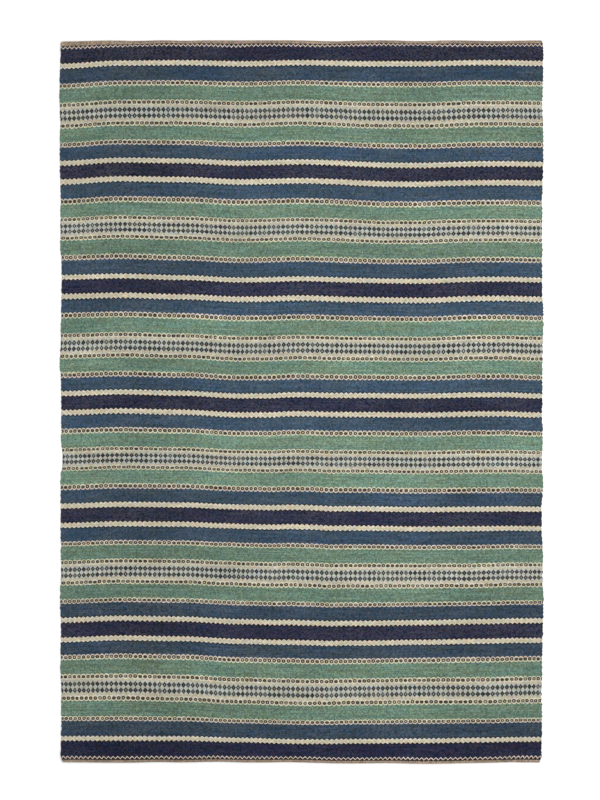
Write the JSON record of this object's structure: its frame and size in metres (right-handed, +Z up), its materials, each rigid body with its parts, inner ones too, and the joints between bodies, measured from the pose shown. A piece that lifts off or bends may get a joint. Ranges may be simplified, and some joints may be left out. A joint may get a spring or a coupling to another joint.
{
  "type": "jute kilim rug",
  "caption": "Flatwoven jute rug with navy, blue and green stripes, rows of small rings and diamonds, toothed cream lines, and a turned-under hem at each end.",
  "frame": {"origin": "on the floor, under the middle of the rug", "axes": "+Z up out of the pile-free face, +Y along the rug's length, +X across its width"},
  "size_m": [1.2058, 1.8028, 0.009],
  "materials": {
    "jute_cloth": "matt weft-faced jute flatweave in navy, blue, sage green, cream and brown bands"
  },
  "bodies": {
    "root": {"rug_cloth": "jute_cloth"}
  },
  "joints": []
}
